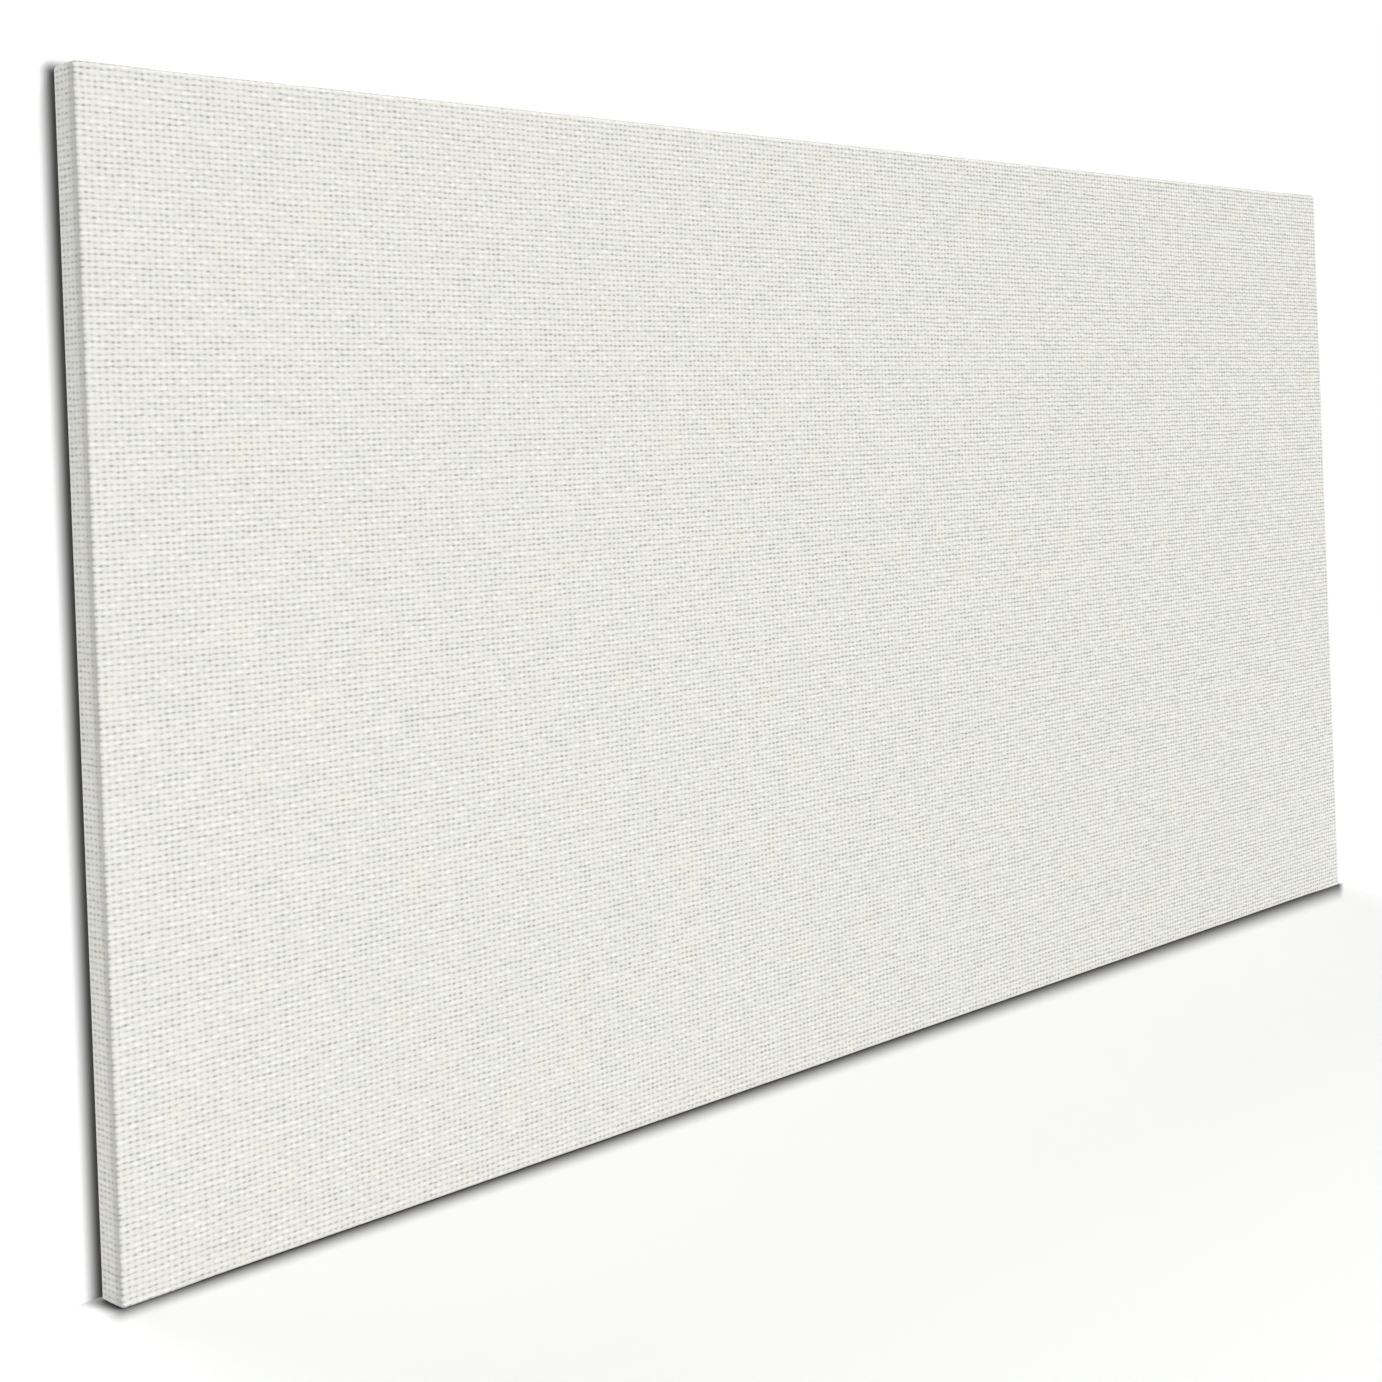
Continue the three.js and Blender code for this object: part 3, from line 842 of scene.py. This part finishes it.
def raw_cloth():
    """The unprimed side of the cloth: cream cotton with darker flecks of seed husk, and painted shade on the
    threads that lie under and in the gaps.
    """
    shader = Shader("raw_cloth")
    weave = Weave(shader)
    depth = shader.ramp(weave.drift(0.6, 0.6, 5.0), 0.3, 0.7, 0.5, 1.0)
    rows = shader.times(weave.row_gap(0.0, 2.0), 0.85)
    gap = shader.times(shader.math("MAXIMUM", rows, weave.column_gap(1.6)), depth)
    thread = shader.mix(shader.noise(weave.place, 60.0, 4.0), COTTON, COTTON_PALE)
    fleck = shader.ramp(shader.noise(weave.place, 420.0, 3.0), 0.68, 0.74, 0.0, 0.8)
    flecked = shader.mix(fleck, thread, HUSK)
    # painted shade on the threads that lie under
    under_shaded = shader.mix(shader.ramp(weave.over, 0.2, -0.8, 0.0, 0.4), flecked, COTTON_UNDER_SHADE)
    shader.set(
        # painted shade in the gaps between the threads
        Base_Color=shader.mix(shader.times(gap, 0.5), under_shaded, COTTON_GAP_SHADE),
        Roughness=0.95,
        Sheen_Weight=0.15,
        Normal=shader.bump(weave.relief(gap, 0.5, 0.8, 3000.0, 0.3), WEAVE_RELIEF),
    )
    return shader.material


class Wood(NamedTuple):
    """A kind of wood: its three colours, its rings and fibres, and how wide its eased edges are."""

    pale: tuple
    dark: tuple
    line: tuple
    ring_width: float
    fibre_scale: float
    eased: float


PINE = Wood(
    pale=colour(0.70, 0.53, 0.33),
    dark=colour(0.60, 0.43, 0.24),
    line=colour(0.42, 0.25, 0.11),
    ring_width=3.1 * MM,
    fibre_scale=1500.0,
    eased=0.35 * MM,
)
BEECH = Wood(
    pale=colour(0.60, 0.42, 0.27),
    dark=colour(0.52, 0.34, 0.20),
    line=colour(0.34, 0.19, 0.10),
    ring_width=1.6 * MM,
    fibre_scale=2600.0,
    eased=0.25 * MM,
)
ALONG_X = (0.0, 0.0, 0.0)
ALONG_Z = (0.0, math.pi / 2, 0.0)
WOOD_RELIEF = 0.12 * MM


def wood(name, kind, turn, shift):
    """Sawn wood whose grain runs along X once the coordinates are turned, cut shift away from the pith."""
    shader = Shader(name)
    mapping = shader.add("ShaderNodeMapping")
    shader.feed(mapping.inputs["Vector"], shader.object_place())
    shader.feed(mapping.inputs["Rotation"], turn)
    along, side, depth = shader.separate(shader.vector_math("ADD", mapping.outputs[0], shift))
    slow = shader.vector(shader.times(along, 2.2), shader.times(side, 11.0), shader.times(depth, 11.0))
    bend = shader.math("SUBTRACT", shader.noise(slow, 1.0, 3.0), 0.5)
    side_bent = shader.math("MULTIPLY_ADD", bend, 0.03, side)
    depth_bent = shader.math("MULTIPLY_ADD", bend, 0.022, depth)
    radius = shader.vector_math("LENGTH", shader.vector(0.0, side_bent, depth_bent), output="Value")
    season = shader.math("FRACT", shader.math("DIVIDE", radius, kind.ring_width))
    late = shader.times(shader.math("POWER", season, 3.0), shader.ramp(season, 0.93, 1.0, 1.0, 0.0))
    fibre = shader.noise(shader.vector(shader.times(along, 0.03), side, depth), kind.fibre_scale, 4.0)
    blotch = shader.noise(shader.vector(shader.times(along, 0.2), side, depth), 26.0, 3.0)
    body = shader.mix(blotch, kind.pale, kind.dark)
    ringed = shader.mix(shader.times(late, 0.75), body, kind.line)
    rise = shader.plus(shader.times(fibre, 0.6), shader.times(late, 0.5))
    shader.set(
        Base_Color=shader.mix(shader.ramp(fibre, 0.35, 0.72, 0.0, 0.32), ringed, kind.line),
        Roughness=shader.ramp(fibre, 0.3, 0.7, 0.5, 0.68),
        Specular_IOR_Level=0.35,
        Normal=shader.bump(rise, WOOD_RELIEF),
    )
    return shader.material


STEEL_DULL = colour(0.38, 0.39, 0.41)
STEEL_BRIGHT = colour(0.64, 0.65, 0.67)
STEEL_RELIEF = 0.03 * MM


def staple_steel():
    """Galvanised wire: bright metal with a soft grey bloom and fine drawing lines."""
    shader = Shader("staple_steel")
    place = shader.object_place()
    bloom = shader.noise(place, 900.0, 3.0)
    lines = shader.noise(place, 5200.0, 2.0)
    shader.set(
        Base_Color=shader.mix(bloom, STEEL_DULL, STEEL_BRIGHT),
        Metallic=1.0,
        Roughness=shader.ramp(bloom, 0.3, 0.7, 0.26, 0.46),
        Normal=shader.bump(lines, STEEL_RELIEF),
    )
    return shader.material


# ---------------------------------------------------------------- dressing the CAD nodes

WOOD_SEED = 21
STAPLE_EASED = 0.12 * MM
WELD_DISTANCE = 0.005 * MM
SHARP_ANGLE = math.radians(40)


def dress(node, material, eased):
    """Gives a CAD node its material, joins its facets and rounds its sharp edges. Its mesh isn't changed."""
    node.data.materials.clear()
    node.data.materials.append(material)
    weld = node.modifiers.new("weld", "WELD")
    weld.merge_threshold = WELD_DISTANCE
    bevel = node.modifiers.new("eased edges", "BEVEL")
    bevel.width = eased
    bevel.segments = 2
    bevel.limit_method = "ANGLE"
    bevel.angle_limit = SHARP_ANGLE


def dress_wood():
    """Pine bars and beech keys, each cut from its own place in the tree."""
    shifts = np.random.default_rng(WOOD_SEED)
    for name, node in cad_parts.items():
        if name.endswith("_bar") or name == "centre_brace":
            turn = ALONG_Z if name in ("left_bar", "right_bar", "centre_brace") else ALONG_X
            shift = (shifts.uniform(0, 9), shifts.uniform(0.03, 0.09), shifts.uniform(0.02, 0.07))
            dress(node, wood("pine_" + name, PINE, turn, shift), PINE.eased)
        elif "_key_" in name:
            turn = ALONG_Z if name.endswith("_vertical") else ALONG_X
            shift = (shifts.uniform(0, 9), shifts.uniform(0.03, 0.2), shifts.uniform(0.02, 0.2))
            dress(node, wood("beech_" + name, BEECH, turn, shift), BEECH.eased)


def dress_staples():
    steel = staple_steel()
    for name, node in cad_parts.items():
        if name.startswith("staple_"):
            dress(node, steel, STAPLE_EASED)


# ---------------------------------------------------------------- floor, light and camera

SHADE = 0.97
SHADE_DARKEST = grey(0.015)
SIDE_INSET = 1.7 * MM  # how far inside the canvas's outline the soft shade begins to fade, at the sides

FLOOR_DROP = 0.5 * MM
FLOOR_RADIUS = 4.0
FLOOR_SEGMENTS = 96
FLOOR_FADE = (1.3, 3.6)
FLOOR_COLOUR = grey(0.85)
FLOOR_CLOUDY = grey(0.84)
FLOOR_BOUNCE = grey(0.72)  # what the floor gives back to the object
FLOOR_RELIEF = 0.03 * MM
FLOOR_INSET = 5 * MM
FLOOR_SIDE_REACH = 12.5 * MM
FLOOR_REACH = 31.6 * MM  # how far the shade reaches in front of the canvas, at its middle
FLOOR_SPREAD = 16.5 * MM  # how much further it reaches for each metre to the right
SHADE_LEAN = 1.22  # the shade's ends lean left by this much for each unit in front of the canvas
SHADE_LEAN_SPREAD = 1.06  # and by this much more for each metre to the right

WALL_GAP = 1.0 * MM  # behind everything on the canvas's back
WALL_COLOUR = grey(0.60)
WALL_PALE = grey(0.62)
# a painted glow, so that the wall shows white where it is not shaded
WALL_GLOW = 0.55
WALL_MARGIN = 0.16
WALL_FADE = (0.07, 0.15)
WALL_SIDE_REACH = 10.6 * MM
TOP_INSET = 3 * MM
TOP_REACH = 9.8 * MM

SKY_SEEN = 1.0
SKY_LIGHT = 0.595
WHITE = grey(1)
BLACK = grey(0)

KEY_FROM = Vector((0.30, -0.62, 0.72))
KEY_STRENGTH = 1.87
KEY_SOFTNESS = math.radians(24)
BACK_FROM = Vector((0.22, 0.70, 0.68))
BACK_STRENGTH = 1.0
BACK_SOFTNESS = math.radians(50)
FILL_FROM = Vector((-0.85, 0.1, 0.35))
FILL_STRENGTH = 0.345
FILL_SOFTNESS = math.radians(60)

CAMERA_PLACE = Vector((-1.1486, -0.9504, 0.4051))
CAMERA_HEADING = math.radians(45.616)  # from +Y towards +X
CAMERA_PITCH = math.radians(-0.345)
CAMERA_ROLL = math.radians(-2.176)
CAMERA_LENS = 57.05
CAMERA_SENSOR = 36.0
CAMERA_CLIP = (0.01, 100.0)
LENS_SHIFT = -0.1692


def soft_shade(shader, point, half_size, reach):
    """Full shade inside a box, fading away smoothly over the reach around it."""
    return shader.ramp(away_from(shader, point, half_size, reach), 0.0, 1.0, SHADE, 0.0)


def fade_out(shader, share):
    """Lets the surface give way to clear air by share."""
    clear = shader.add("ShaderNodeBsdfTransparent")
    blend = shader.add("ShaderNodeMixShader")
    shader.feed(blend.inputs[0], share)
    shader.links.new(shader.surface.outputs[0], blend.inputs[1])
    shader.links.new(clear.outputs[0], blend.inputs[2])
    shader.links.new(blend.outputs[0], shader.output.inputs["Surface"])


def floor_shade(shader, point):
    """The shade on the floor round the canvas's foot. In front, its ends follow the lines of sight."""
    across, deep, _ = shader.separate(point)
    lean = shader.math("MULTIPLY_ADD", across, -SHADE_LEAN_SPREAD, -SHADE_LEAN)
    in_front = shader.math("MINIMUM", shader.plus(deep, DEPTH / 2), 0.0)
    leaning = shader.math("MULTIPLY_ADD", in_front, lean, across)
    size = (WIDTH / 2 - SIDE_INSET, DEPTH / 2 - FLOOR_INSET, 1.0)
    forward = shader.math("MULTIPLY_ADD", across, FLOOR_SPREAD, FLOOR_REACH)
    reach = shader.vector(FLOOR_SIDE_REACH, forward, 1.0)
    return soft_shade(shader, shader.vector(leaning, deep, 0.0), size, reach)


def floor_material():
    """Pale matt board, shaded where the canvas meets it, that fades into the white surround far away."""
    shader = Shader("floor")
    point = shader.object_place()
    cloudy = shader.noise(point, 3.0, 3.0)
    paper = shader.noise(point, 900.0, 3.0)
    base = shader.mix(cloudy, FLOOR_COLOUR, FLOOR_CLOUDY)
    shaded = shader.mix(floor_shade(shader, point), base, SHADE_DARKEST)
    seen = shader.add("ShaderNodeLightPath").outputs["Is Camera Ray"]
    lit = shader.mix(seen, FLOOR_BOUNCE, shaded)
    shader.set(Base_Color=lit, Roughness=0.9, Normal=shader.bump(paper, FLOOR_RELIEF))
    fade_out(shader, shader.ramp(away_from(shader, point, (0, 0, 0)), *FLOOR_FADE))
    return shader.material


def make_floor():
    bpy.ops.mesh.primitive_circle_add(vertices=FLOOR_SEGMENTS, radius=FLOOR_RADIUS, fill_type="NGON")
    floor = bpy.context.object
    floor.name = "floor"
    floor.location = (0, 0, CLOTH_LOW.z - FLOOR_DROP)
    floor.data.materials.append(floor_material())
    floor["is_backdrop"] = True


def wall_material():
    """Matt white with a painted glow that keeps it white, and a painted shade round the canvas's outline. It
    shows only from the front, and fades out a little way round the canvas.
    """
    shader = Shader("wall")
    point = shader.object_place()
    base = shader.mix(shader.noise(point, 240.0, 3.0), WALL_COLOUR, WALL_PALE)
    lowered = shader.vector_math("ADD", point, (0, 0, TOP_INSET))
    size = (WIDTH / 2 - SIDE_INSET, 1.0, HEIGHT / 2)
    shade = soft_shade(shader, lowered, size, (WALL_SIDE_REACH, 1.0, TOP_REACH))
    shader.set(
        Base_Color=shader.mix(shade, base, SHADE_DARKEST),
        Roughness=0.9,
        # painted glow, left out where the painted shade is
        Emission_Color=shader.mix(shade, WHITE, BLACK),
        Emission_Strength=WALL_GLOW,
    )
    far = shader.ramp(away_from(shader, point, (WIDTH / 2, 1.0, HEIGHT / 2)), *WALL_FADE)
    behind = shader.add("ShaderNodeNewGeometry").outputs["Backfacing"]
    fade_out(shader, shader.math("MAXIMUM", far, behind))
    return shader.material


def make_wall():
    """The strip of wall behind the canvas's left edge, which catches the canvas's shadow and carries a
    painted shade along it. Only the camera sees it.
    """
    left = -WIDTH / 2 - WALL_MARGIN
    right = -WIDTH / 2 + WALL_MARGIN
    low = -MIDDLE
    high = MIDDLE + WALL_MARGIN
    mesh = bpy.data.meshes.new("wall")
    mesh.from_pydata([(left, 0, low), (right, 0, low), (right, 0, high), (left, 0, high)], [], [(0, 1, 2, 3)])
    mesh.materials.append(wall_material())
    wall = bpy.data.objects.new("wall", mesh)
    bpy.context.scene.collection.objects.link(wall)
    wall.location = (0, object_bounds()[1].y + WALL_GAP, MIDDLE)
    wall.visible_diffuse = False
    wall.visible_glossy = False
    wall.visible_transmission = False
    wall.visible_shadow = False
    wall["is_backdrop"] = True


def make_sky():
    """A white surround, brighter to the camera than as a light, so that the object keeps its tone."""
    world = bpy.data.worlds.new("surround")
    bpy.context.scene.world = world
    world.use_nodes = True
    nodes, links = world.node_tree.nodes, world.node_tree.links
    nodes.clear()
    seen = nodes.new("ShaderNodeLightPath")
    level = nodes.new("ShaderNodeMapRange")
    level.inputs["To Min"].default_value = SKY_LIGHT
    level.inputs["To Max"].default_value = SKY_SEEN
    background = nodes.new("ShaderNodeBackground")
    background.inputs["Color"].default_value = WHITE
    output = nodes.new("ShaderNodeOutputWorld")
    links.new(seen.outputs["Is Camera Ray"], level.inputs["Value"])
    links.new(level.outputs[0], background.inputs["Strength"])
    links.new(background.outputs[0], output.inputs["Surface"])


def make_sun(name, source, strength, softness):
    """A distant light whose rays come from the direction of source."""
    light = bpy.data.lights.new(name, "SUN")
    light.energy = strength
    light.angle = softness
    lamp = bpy.data.objects.new(name, light)
    lamp.rotation_mode = "QUATERNION"
    lamp.rotation_quaternion = source.to_track_quat("Z", "Y")
    bpy.context.scene.collection.objects.link(lamp)


def shift_lens(camera):
    """Raises the picture in the frame while the camera is at its own place, and not from anywhere else."""
    shift = camera.data.driver_add("shift_y").driver
    shift.type = "SCRIPTED"
    place = shift.variables.new()
    place.name = "x"
    place.type = "TRANSFORMS"
    place.targets[0].id = camera
    place.targets[0].transform_type = "LOC_X"
    place.targets[0].transform_space = "WORLD_SPACE"
    shift.expression = f"{LENS_SHIFT} if abs(x - {CAMERA_PLACE.x:.6f}) < {MM} else 0"


def make_camera():
    """A camera in front of the canvas and to its left, with a shifted lens."""
    data = bpy.data.cameras.new("camera")
    camera = bpy.data.objects.new("camera", data)
    bpy.context.scene.collection.objects.link(camera)
    bpy.context.scene.camera = camera
    data.sensor_width = CAMERA_SENSOR
    data.lens = CAMERA_LENS
    data.clip_start, data.clip_end = CAMERA_CLIP
    ahead = Vector((
        math.sin(CAMERA_HEADING) * math.cos(CAMERA_PITCH),
        math.cos(CAMERA_HEADING) * math.cos(CAMERA_PITCH),
        math.sin(CAMERA_PITCH),
    ))
    level_right = ahead.cross(Vector((0, 0, 1))).normalized()
    level_up = level_right.cross(ahead)
    right = level_right * math.cos(CAMERA_ROLL) + level_up * math.sin(CAMERA_ROLL)
    up = right.cross(ahead)
    turned = Matrix((right, up, -ahead)).transposed()
    camera.matrix_world = Matrix.Translation(CAMERA_PLACE) @ turned.to_4x4()
    shift_lens(camera)


# ---------------------------------------------------------------- putting it together

cloth = build_cloth([primed_cloth(), raw_cloth()])
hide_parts("canvas")
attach(cloth, "frame")

threads = build_threads(cloth.data.materials[RAW])
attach(threads, "frame")

dress_wood()
dress_staples()

make_floor()
make_wall()
make_sky()
make_sun("key light", KEY_FROM, KEY_STRENGTH, KEY_SOFTNESS)
make_sun("back light", BACK_FROM, BACK_STRENGTH, BACK_SOFTNESS)
make_sun("fill light", FILL_FROM, FILL_STRENGTH, FILL_SOFTNESS)
make_camera()
bpy.context.scene.view_settings.view_transform = "Standard"

bpy.context.view_layer.update()
